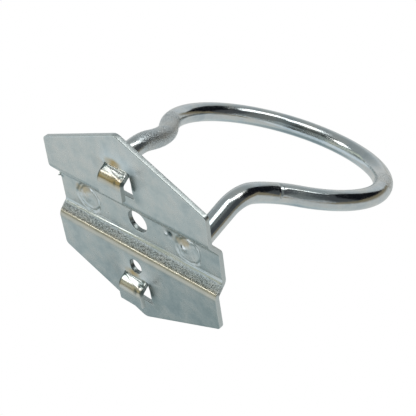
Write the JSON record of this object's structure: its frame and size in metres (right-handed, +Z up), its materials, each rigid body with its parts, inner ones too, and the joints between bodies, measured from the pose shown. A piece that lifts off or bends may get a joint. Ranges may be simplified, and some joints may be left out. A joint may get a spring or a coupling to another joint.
{
  "type": "perforated panel machine ring",
  "caption": "Zinc-plated steel ring on a pressed back plate whose lanced hooks hang in a perforated tool panel; the sloping open ring carries a machine or tool body.",
  "frame": {"origin": "on the plate's panel-side face, midway between the two hooks, on the plate's middle line", "axes": "+Y towards the panel, the way the hooks point; -Y out along the ring; +Z up as it hangs; +X to the right of somebody who faces the panel"},
  "size_m": [0.071, 0.0963, 0.0632],
  "materials": {
    "plate_zinc": "bright zinc-plated sheet steel, softly mottled, bluish grey",
    "rod_zinc": "bright zinc-plated drawn rod, glossy with fine tool marks in the bends",
    "weld_zinc": "zinc-plated weld flash, dull and slightly rough"
  },
  "bodies": {
    "root": {"back_plate": "plate_zinc", "ring_rod": "rod_zinc", "weld_left": "weld_zinc", "weld_right": "weld_zinc"}
  },
  "joints": []
}
